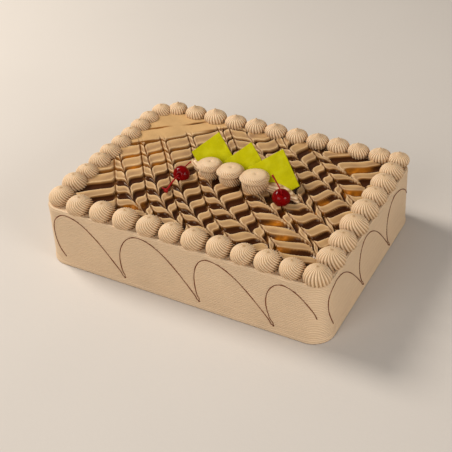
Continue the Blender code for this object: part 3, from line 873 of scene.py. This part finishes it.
def sheet_columns(lines):
    """Places across each row: close together at the comb lines, wider between."""
    share = (np.arange(HALF_GAP_COLUMNS + 1) / HALF_GAP_COLUMNS) ** 1.7
    outer = 40.0 * (np.arange(17) / 16.0) ** 1.4
    columns = [lines[0] - off for off in outer[::-1]]
    for number in range(len(COMB) - 1):
        left, right = lines[number], lines[number + 1]
        half = (right - left) / 2
        columns += [left + half * s for s in share[1:]]
        columns += [right - half * s for s in share[-2::-1]]
    columns += [lines[-1] + off for off in outer[1:]]
    return np.array(columns).T


def comb_pull(u, v, lines):
    """How far the comb dragged each place, how far off its nearest line is, and that
    line's way."""
    pull = np.zeros_like(v)
    near = np.full_like(v, 1000.0)
    way = np.zeros_like(v)
    for line, place in zip(COMB, lines):
        off = np.abs(v - place[:, None])
        if line[6] > 0:
            pull += DRAG_REACH * np.exp(-off / DRAG_WIDTH)
        else:
            pull -= PUSH_REACH * np.exp(-off / PUSH_WIDTH)
        way = np.where(off < near, line[6], way)
        near = np.minimum(near, off)
    pull *= np.interp(u, REACH_AT, REACH_SHARE)
    return pull, near, way


def before_comb(u, v, pull):
    """Where along the drag direction each place lay before it was combed."""
    base = u - np.interp(v, DRIFT_AT, DRIFT_BY) + waver(v, u, 42.0, 21)
    start = base
    for _ in range(4):
        calm = soft_step((start + CALM_FROM) / CALM_OVER)
        start = base - pull * calm
    return start


def stripe_fields(u, start):
    """The ridge of each stripe, its tan face, its pale edges, where a highlight is partly
    painted, its sunken middle, where shade is painted, and the strip just beside it."""
    cut = np.interp(u, CUT_AT, CUT_BY)
    ridge, tan, edge, shaded_middle, beside = (np.zeros_like(u) for _ in range(5))
    for middle, half in STRIPES:
        below = start - middle
        off = np.abs(below)
        slope = soft_step((half + SLOPE_START + below) / FAR_SLOPE)
        slope = slope * soft_step((half + SLOPE_START - below) / NEAR_SLOPE)
        ridge = np.maximum(ridge, slope)
        shown = soft_step((half + 0.7 + below) / 1.4)
        shown = shown * soft_step((half - cut + 0.9 - below) / 2.0)
        tan = np.maximum(tan, shown)
        # Pale edges at the top and near side of the stripe: partly a painted highlight on the
        # raised rim
        edge = np.maximum(edge, bell(below + half - 1.3, 0.9))
        edge = np.maximum(edge, 0.75 * bell(below - half + cut + 1.5, 0.8))
        if half < CALM_STRIPE:
            # Painted shade along the sunken middle of the stripe
            shaded_middle = np.maximum(shaded_middle, np.exp(-(((below - 0.4) / (0.5 * half)) ** 4)))
        beside = np.maximum(beside, bell(off - half - 1.2, 2.2))
    return ridge, tan, edge, shaded_middle, beside


def caramel_field(u, v, beside, tan):
    """Caramel shows beside the stripes, in patches."""
    caramel = np.zeros_like(v)
    for across, along, reach_v, reach_u in CARAMEL_SPOTS:
        spot = np.exp(-(((v - across) / reach_v) ** 4 + ((u - along) / reach_u) ** 2))
        caramel = np.maximum(caramel, spot)
    shown = np.clip(beside * 1.3 + 0.45 * (1 - tan), 0.0, 1.0)
    caramel *= shown * (0.8 + 0.5 * waver(v, u, 7.0, 44))
    return np.clip(caramel, 0.0, 1.0)


def feathered_fields(u, v, lines):
    """The height of the sheet over the cake, and the masks of its colours."""
    pull, near, way = comb_pull(u, v, lines)
    start = before_comb(u, v, pull)
    ridge, tan, edge, shaded_middle, beside = stripe_fields(u, start)
    combed = soft_step((start + COMB_FROM) / COMB_OVER)
    groove = bell(near, GROOVE_WIDTH) * combed
    lips = bell(near - LIP_OFF, LIP_ROUND) * combed
    height = VALLEY_HEIGHT + (RIDGE_HEIGHT - VALLEY_HEIGHT) * ridge
    height += LIP_HEIGHT * lips * (0.3 + 0.7 * ridge) + EDGE_HEIGHT * edge * ridge
    height -= groove * (0.5 + 0.9 * ridge)
    height -= DULL_DEPTH * shaded_middle * ridge
    height += 0.30 * waver(v, u, 17.0, 31) * (0.3 + 0.7 * ridge) + 0.10 * waver(v, u, 6.0, 32)
    for across, along, long_half, wide_half in STREAKS:
        dark = np.exp(-(((v - across) / long_half) ** 2 + ((u - along) / wide_half) ** 2))
        tan *= 1.0 - np.clip(1.6 * dark, 0.0, 1.0)
        height -= STREAK_DEPTH * dark
    caramel = caramel_field(u, v, beside, tan)
    thin = soft_step((-38.0 - u) / 20.0) * soft_step((-24.0 - v) / 20.0)
    stain = 2.6 * tan * (1.0 - tan) + 0.8 * thin * (1.0 - tan)
    stain = np.maximum(stain, groove * (0.45 + 0.5 * thin) * ridge)
    smeared = bell(near, SMEAR_WIDTH) * combed * np.where(way < 0, 1.0, 0.5)
    stain = np.maximum(stain, 0.85 * smeared * (0.45 + 0.55 * thin))
    tan *= 1.0 - 0.80 * groove * np.where(way < 0, 1.0, 0.75)
    masks = {
        "tan": tan,
        # Partly paler mocha, partly a painted highlight on the raised lips and edges
        "lip": np.clip(0.75 * edge + 0.9 * lips, 0.0, 1.0),
        # Painted shade in the middle of each stripe
        "shaded_middle": np.clip(shaded_middle * (0.68 + 0.5 * waver(v, u, 15.0, 36)), 0.0, 1.0),
        "caramel": caramel,
        "stain": np.clip(stain, 0.0, 0.95),
    }
    return height, masks


def lay_out(u, v, height):
    """A grid laid along the drag direction over the cake, and each vertex's row and column."""
    angle = math.radians(DRAG_ANGLE)
    down = np.array([math.cos(angle), math.sin(angle)])
    side = np.array([-down[1], down[0]])
    across, along = v.shape[1] - 1, v.shape[0] - 1
    grid = bpy.ops.mesh.primitive_grid_add
    sheet = fresh(grid, x_subdivisions=across, y_subdivisions=along, size=2.0)
    flat = places(sheet) * MM
    column = np.round((flat[:, 0] + 1.0) / 2.0 * across).astype(int)
    row = np.round((flat[:, 1] + 1.0) / 2.0 * along).astype(int)
    vv, uu = v[row, column], u[row, column]
    x = vv * side[0] + uu * down[0]
    y = vv * side[1] + uu * down[1]
    set_places(sheet, np.stack([x, y, BODY_HEIGHT + height[row, column]], axis=1))
    return sheet, row, column


def trim_sheet(sheet):
    """Cut the sheet to the top of the cake and bring its edge down to the icing."""
    edit(sheet)
    edges = (
        ((SIDE_LINE_X - TOP_EDGE_INSET, 0), (1, 0)),
        ((TOP_EDGE_INSET - SIDE_LINE_X, 0), (-1, 0)),
        ((0, BACK_LINE_Y - TOP_EDGE_INSET), (0, 1)),
        ((0, FRONT_LINE_Y + TOP_EDGE_INSET), (0, -1)),
    )
    for place, outward in edges:
        bpy.ops.mesh.select_all(action="SELECT")
        bpy.ops.mesh.bisect(
            plane_co=(place[0] * MM, place[1] * MM, 0),
            plane_no=(outward[0], outward[1], 0),
            clear_outer=True,
        )
    bpy.ops.mesh.select_all(action="DESELECT")
    bpy.ops.mesh.select_non_manifold()
    bpy.ops.mesh.extrude_region_move(TRANSFORM_OT_translate={"value": (0, 0, 0)})
    bpy.ops.transform.resize(
        value=(1.0, 1.0, 0.0), center_override=(0, 0, (BODY_HEIGHT + 0.1) * MM)
    )
    object_mode()


def feathered_sheet():
    rows = np.arange(-SHEET_REACH, SHEET_REACH, ROW_STEP)
    lines = comb_places(rows)
    v = sheet_columns(lines)
    u = np.repeat(rows[:, None], v.shape[1], axis=1)
    height, masks = feathered_fields(u, v, lines)
    sheet, row, column = lay_out(u, v, height)
    for name, field in masks.items():
        mask(sheet, name, field[row, column])
    trim_sheet(sheet)
    hand_over(sheet, "feathered_top", ["marbled_top"], marble)


# Topping
def rosette_rings(low, high, tall, fold):
    """A ridged lower tier and a wide cap that folds over it, dimpled on top."""
    cap = [(CAP_SIDE_SHARE * k / len(CAP_SIDES), wide) for k, wide in enumerate(CAP_SIDES)]
    rings = [(GAP + up * (fold - GAP), low * wide, TIER_TURN * up) for up, wide in TIER_RINGS]
    for up, wide in cap + CROWN_RINGS:
        turn = CAP_TURN * min(up, 0.9) + TIER_TURN
        rings.append((fold + up * (tall - fold), high * wide, turn))
    return rings


def smooth_crown(form, rings, start, end):
    """The ridges die away between the two heights."""
    co = places(form)
    top = max(range(len(rings)), key=lambda k: rings[k][0])
    heights = [r[0] for r in rings[:top]]
    radii = [r[1] for r in rings[:top]]
    reach = np.hypot(co[:, 0], co[:, 1])
    plain = np.interp(co[:, 2], heights, radii)
    fade = soft_step((co[:, 2] - start) / (end - start)) * (reach > radii[-1] * 1.05)
    grow = 1.0 + fade * (plain / np.maximum(reach, 0.01) - 1.0)
    co[:, :2] *= grow[:, None]
    set_places(form, co)


def uneven_rosette(form, co, number, centre, cap, fold):
    """Lean the cap, bead the tier, waver the sides and paint shade in the fold."""
    x, y = centre
    rise = (co[:, 2] - BODY_HEIGHT - fold) / cap
    co[:, 0] += 1.6 * soft_step((rise - 0.4) / 0.6)
    angle = np.arctan2(co[:, 1] - y, co[:, 0] - x)
    beads = np.sin(co[:, 2] * 2 * math.pi / BEAD_STEP + angle * 3)
    beads *= BEAD_DEPTH * (rise < -0.05)
    co[:, 0] += beads * (co[:, 0] - x)
    co[:, 1] += beads * (co[:, 1] - y)
    co[:, 0] += 0.35 * waver(co[:, 1], co[:, 2], 19.0, number + 70)
    co[:, 1] += 0.35 * waver(co[:, 0], co[:, 2], 19.0, number + 80)
    set_places(form, co)
    # Painted shade in the crease where the cap folds over the tier
    crease = 0.55 * bell(rise + 0.03, 0.12)
    # Painted shade in the grooves, paler towards the crown, with the crease and a little more
    # added all over
    fade_hollow_shade(form, 1.0 - 0.75 * soft_step((rise - 0.55) / 0.4), 0.14 + crease)


def rosettes():
    row = list(ROSETTES.values())
    for number, (key, (x, y, low, high, tall, fold)) in enumerate(ROSETTES.items()):
        rings = rosette_rings(low, high, tall, fold)
        cap = tall - fold
        form = piped_form(ROSETTE_RIDGES, ROSETTE_RIDGE_DEPTH, rings, rings[-1][0] - 0.1)
        smooth_crown(form, rings, fold + 0.62 * cap, fold + 0.98 * cap)
        form.location = (x * MM, y * MM, BODY_HEIGHT * MM)
        form.rotation_euler = (0, 0, 0.9 * number)
        apply_place(form)
        near = row[max(number - 1, 0) : number] + row[number + 1 : number + 2]
        co = held_back(places(form), (x, y), near)
        uneven_rosette(form, co, number, (x, y), cap, fold)
        hand_over(form, "piped_rosette_" + key, ["rosette_" + key], cream)


def plate_axes(turn):
    """Which way a leaning square's two edges run from its top corner, and its face."""
    lean = math.radians(PLATE_LEAN)
    upward = Vector((0.0, math.sin(lean), math.cos(lean)))
    face = Vector((0.0, -math.cos(lean), math.sin(lean)))
    t = math.radians(turn)
    across = Vector((1.0, 0.0, 0.0))
    to_left = -math.cos(t) * across - math.sin(t) * upward
    to_right = math.sin(t) * across - math.cos(t) * upward
    return to_left, to_right, face


def cut_slab(side, number):
    """A flat slab with soft edges, cut by hand."""
    cut_side = side - PLATE_CLEARANCE
    slab = block(cut_side, cut_side, PLATE_THICKNESS, 0)
    edit(slab)
    pick(slab, lambda e: max(span_along(e, 0), span_along(e, 1)) > 0.01, "EDGE")
    bpy.ops.mesh.subdivide(number_cuts=PLATE_CUTS)
    weld()
    pick(slab, lambda e: e.calc_face_angle(0.0) > 1.0, "EDGE")
    bpy.ops.mesh.bevel(offset=PLATE_EDGE * MM, segments=2)
    object_mode()
    co = places(slab)
    co[:, 2] += 0.07 * waver(co[:, 0], co[:, 1], 15.0, 90 + number)
    for axis, other, seed in ((0, 1, 95), (1, 0, 98)):
        bite = np.abs(0.10 * waver(co[:, other], co[:, 2], 9.0, seed + number))
        co[:, axis] -= bite * np.sign(co[:, axis])
    set_places(slab, co)
    return slab


def green_squares():
    for number, (key, (x, y, height, side, turn)) in enumerate(PLATES.items()):
        to_left, to_right, face = plate_axes(turn)
        corner = Vector((x, y, height + BODY_HEIGHT))
        middle = corner + (to_left + to_right) * side / 2 - face * PLATE_THICKNESS / 2
        slab = cut_slab(side, number)
        spin = Matrix((to_left, to_right, to_left.cross(to_right))).transposed().to_4x4()
        slab.matrix_world = Matrix.Translation(middle * MM) @ spin
        name = "green_square_" + key
        hand_over(slab, "cut_" + name, [name], green)
        bpy.ops.object.shade_smooth_by_angle(angle=math.radians(35))


def cherries():
    for number, (key, (x, y, height, radius)) in enumerate(CHERRIES.items()):
        ball = bpy.ops.mesh.primitive_uv_sphere_add
        fruit = fresh(ball, segments=56, ring_count=36, radius=radius * MM)
        co = places(fruit)
        ring = np.hypot(co[:, 0], co[:, 1])
        dimple = DIMPLE_DEPTH * bell(ring, DIMPLE_RADIUS)
        co[:, 2] -= np.where(co[:, 2] > 0, dimple, 0.0)
        co[:, 2] *= CHERRY_FLATNESS
        turn = np.arctan2(co[:, 1], co[:, 0])
        crease = 0.018 * np.cos(turn - 0.7) * np.abs(co[:, 2]) / radius
        uneven = 0.012 * waver(turn * 3, co[:, 2], 9.0, 60 + number)
        co *= (1.0 - 0.012 + crease * 0.5 + uneven)[:, None]
        set_places(fruit, co)
        pole = Vector(CHERRY_POLES[key]).normalized()
        spin = Vector((0, 0, 1)).rotation_difference(pole).to_matrix().to_4x4()
        place = Vector((x, y, BODY_HEIGHT + height)) * MM
        fruit.matrix_world = Matrix.Translation(place) @ spin
        apply_place(fruit)
        co = places(fruit)
        co[:, 2] = np.maximum(co[:, 2], BODY_HEIGHT + GAP)
        set_places(fruit, co)
        hand_over(fruit, "glossy_cherry_" + key, ["cherry_" + key], red)


def tube(points, radii, detail=5, steps=8):
    """A round body along a path, thicker and thinner as its radii say."""
    path = fresh(bpy.ops.curve.primitive_bezier_curve_add)
    curve = path.data
    curve.splines.clear()
    spline = curve.splines.new("BEZIER")
    spline.bezier_points.add(len(points) - 1)
    for spot, place, radius in zip(spline.bezier_points, points, radii):
        spot.co = [c * MM for c in place]
        spot.handle_left_type = "AUTO"
        spot.handle_right_type = "AUTO"
        spot.radius = radius * MM
    curve.dimensions = "3D"
    curve.bevel_depth = 1.0
    curve.bevel_resolution = detail
    curve.use_fill_caps = True
    curve.resolution_u = steps
    take(path)
    bpy.ops.object.convert(target="MESH")
    piece = bpy.context.object
    edit(piece)
    weld()
    object_mode()
    return piece


def stem_start(key):
    """A place just inside the dimple of the cherry."""
    x, y, height, radius = CHERRIES[key]
    pole = Vector(CHERRY_POLES[key]).normalized()
    rise = radius * CHERRY_FLATNESS - STEM_SINK
    return tuple(Vector((x, y, BODY_HEIGHT + height)) + pole * rise)


def stem_tube(stem, key):
    """One stem of the cherry that the key names."""
    x, y = CHERRIES[key][:2]
    points = []
    for place, _ in STEMS[stem]:
        if place is None:
            points.append(stem_start(key))
        else:
            points.append((x + place[0], y + place[1], BODY_HEIGHT + place[2]))
    return tube(points, [radius for _, radius in STEMS[stem]])


def stems():
    left = joined([stem_tube("left", "left"), stem_tube("left_prong", "left")])
    pieces = {
        "stem_left": left,
        "stem_left_tip": stem_tube("left_tip", "left"),
        "stem_right": stem_tube("right", "right"),
    }
    for name, piece in pieces.items():
        hand_over(piece, "cherry_" + name, [name], stalk)


def beds():
    """Piped cream that lies under the squares, beside the rosettes."""
    for key, spots in BEDS.items():
        points = [(x, y, BODY_HEIGHT + height) for x, y, height, _ in spots]
        bed = tube(points, [spot[3] for spot in spots], detail=14, steps=12)
        co = places(bed)
        co[:, 2] += 0.3 * waver(co[:, 0], co[:, 1], 9.0, 41)
        co[:, 1] += 0.25 * np.sin(co[:, 2] * BED_RIDGE_PACE)
        co[:, 2] = np.maximum(co[:, 2], BODY_HEIGHT + GAP)
        set_places(bed, co)
        # Painted shade in the hollows between the bed's ridges, following the wave that ridges it
        mask(bed, "hollow", 0.5 + 0.5 * np.sin(co[:, 2] * BED_RIDGE_PACE))
        name = "cream_bed_" + key
        hand_over(bed, "piped_" + name, [name], cream)


# Looped line round the side, one run for each wall. Each loop: place of its cusp round
# the wall, height of the cusp, its crest after the cusp, height of the crest, pull of
# the rising side, width of the turn. Each run ends free at its last place and height.
RUNS = [
    [
        (-129, 11, 6.5, 62.4, -24, 11), (-58.5, 8.4, 20, 61.8, -11, 15),
        (24.9, 8.8, 11.6, 60.4, -10, 12), (102.5, 8.4, 9, 58.2, -17, 11),
        (144, 29),
    ],
    [
        (162, 15.5, 7.8, 61, -15, 12), (233.8, 7, 5, 60, -20, 12),
        (304.8, 4.6, 11, 58, -20, 13), (353, 38),
    ],
    [
        (392, 12, 8, 61, -16, 11), (462, 8, 14, 61.5, -12, 14),
        (537, 8.6, 11, 60, -14, 12), (606, 9, 9, 59, -16, 11),
        (647, 30),
    ],
    [
        (690, 13, 8, 60, -15, 12), (757, 7, 7, 60.5, -18, 12),
        (822, 6, 10, 59, -18, 12), (866, 34),
    ],
]
LINE_RADIUS = 0.43
LINE_UNEVEN = 0.07
LINE_SUNK = 0.1
STEPS_PER_CURVE = 14
CUSP_RADIUS = 0.88


def wall_length():
    """Half lengths of the flat walls, and the length round a corner."""
    half_x = TOP_LENGTH / 2 - CORNER_RADIUS
    half_y = TOP_WIDTH / 2 - CORNER_RADIUS
    return half_x, half_y, CORNER_RADIUS * math.pi / 2


def wall_point(around, height):
    """A place on the side, by how far it is round from the middle of the front."""
    half_x, half_y, arc = wall_length()
    runs = [half_x, arc, 2 * half_y, arc, 2 * half_x, arc, 2 * half_y, arc, half_x]
    left = around % sum(runs)
    spread = FOOT_SPREAD - LINE_SUNK - float(stand_back(height))
    radius = CORNER_RADIUS + spread
    for number, run in enumerate(runs):
        if left <= run or number == len(runs) - 1:
            break
        left -= run
    side = number // 2
    if number % 2:
        corners = [(half_x, -half_y), (half_x, half_y), (-half_x, half_y), (-half_x, -half_y)]
        cx, cy = corners[side]
        angle = -math.pi / 2 + side * math.pi / 2 + left / CORNER_RADIUS
        return (cx + radius * math.cos(angle), cy + radius * math.sin(angle), height)
    walls = [
        (left, -half_y - radius),
        (half_x + radius, -half_y + left),
        (half_x - left, half_y + radius),
        (-half_x - radius, half_y - left),
        (-half_x + left, -half_y - radius),
    ]
    return (*walls[side], height)


def bezier(a, b, c, d, t):
    """A place on the curve from a to d that b and c pull."""
    s = 1.0 - t
    return tuple(
        s ** 3 * a[i] + 3 * s * s * t * b[i] + 3 * s * t * t * c[i] + t ** 3 * d[i]
        for i in (0, 1)
    )


def loop_path(loops, finish):
    """Places round the wall and heights along one run, and where its cusps are."""
    path = []
    for number, (cusp, low, crest, high, pull, turn) in enumerate(loops):
        last = number == len(loops) - 1
        end = finish if last else loops[number + 1][:2]
        top = (cusp + crest, high)
        fall = end[0] - top[0]
        rising = ((cusp, low), (cusp + pull, low + 31.0), (top[0] - turn, high), top)
        steep = 0.12 if last else 0.30
        above_end = 0.5 * (high - end[1]) if last else 0.38 * high
        into_end = (end[0] - steep * fall, end[1] + above_end)
        falling = (top, (top[0] + 0.36 * fall, high), into_end, end)
        for part in (rising, falling):
            for k in range(STEPS_PER_CURVE):
                path.append(bezier(*part, k / STEPS_PER_CURVE))
    path.append(finish)
    return path, [loop[:2] for loop in loops[1:]]


def side_line():
    parts = []
    for *loops, finish in RUNS:
        path, cusps = loop_path(loops, finish)
        points = [wall_point(*spot) for spot in path]
        radii = [LINE_RADIUS + LINE_UNEVEN * math.sin(k * 1.3) for k in range(len(points))]
        parts.append(tube(points, radii, detail=2, steps=2))
        for cusp in cusps:
            ball = bpy.ops.mesh.primitive_uv_sphere_add
            place = [c * MM for c in wall_point(*cusp)]
            dot = fresh(ball, segments=14, ring_count=10, radius=CUSP_RADIUS * MM, location=place)
            parts.append(dot)
    hand_over(joined(parts), "looped_line", None, line_brown)


iced_body()
shells()
feathered_sheet()
beds()
rosettes()
green_squares()
cherries()
stems()
side_line()


# Stage, light and camera, in metres
FLOOR_SIZE = 6.0
FLOOR_DROP = 0.0002
# Lights: name, place, aim, size across, power, colour
LIGHTS = [
    ("window", (-1.35, 0.15, 1.35), (0, 0, 0.05), 0.7, 33.0, (1.0, 0.95, 0.88)),
    ("room_front", (-0.3, -1.8, 1.0), (0, 0, 0.03), 1.4, 17.5, (1.0, 0.97, 0.93)),
    ("room_right", (1.8, -0.5, 0.8), (0, 0, 0.03), 1.0, 16.0, (1.0, 0.97, 0.93)),
]
SKY_COLOUR = (1.0, 0.97, 0.93)
SKY_STRENGTH = 0.16


def stage():
    plane = bpy.ops.mesh.primitive_plane_add
    floor = fresh(plane, size=FLOOR_SIZE, location=(0, 0, -FLOOR_DROP))
    floor.name = "floor"
    pale = plain_finish("pale_floor", FLOOR, 0.8, 0.1, 0.02, 3.0, 300.0)
    floor.data.materials.append(pale)


def area_light(name, place, aim, size, power, colour):
    lamp = fresh(bpy.ops.object.light_add, type="AREA", location=place)
    lamp.name = name
    lamp.data.shape = "DISK"
    lamp.data.size = size
    lamp.data.energy = power
    lamp.data.color = colour
    way = Vector(aim) - Vector(place)
    lamp.rotation_euler = way.to_track_quat("-Z", "Y").to_euler()


def lights():
    for light in LIGHTS:
        area_light(*light)
    world = bpy.data.worlds.new("soft_room")
    bpy.context.scene.world = world
    world.use_nodes = True
    sky = world.node_tree.nodes["Background"]
    sky.inputs["Color"].default_value = (*SKY_COLOUR, 1.0)
    sky.inputs["Strength"].default_value = SKY_STRENGTH


def camera():
    azimuth, elevation = math.radians(CAMERA_AZIMUTH), math.radians(CAMERA_ELEVATION)
    level = math.cos(elevation)
    back = Vector((math.sin(azimuth) * level, -math.cos(azimuth) * level, math.sin(elevation)))
    turn = (
        Matrix.Rotation(azimuth, 3, "Z")
        @ Matrix.Rotation(math.pi / 2 - elevation, 3, "X")
        @ Matrix.Rotation(math.radians(CAMERA_ROLL), 3, "Z")
    )
    place = Vector(LOOK_AT) + back * CAMERA_DISTANCE
    eye = fresh(bpy.ops.object.camera_add, location=place, rotation=turn.to_euler())
    eye.data.sensor_width = SENSOR
    eye.data.lens = CAMERA_LENS
    bpy.context.scene.camera = eye


stage()
lights()
camera()
bpy.context.scene.view_settings.view_transform = "Standard"
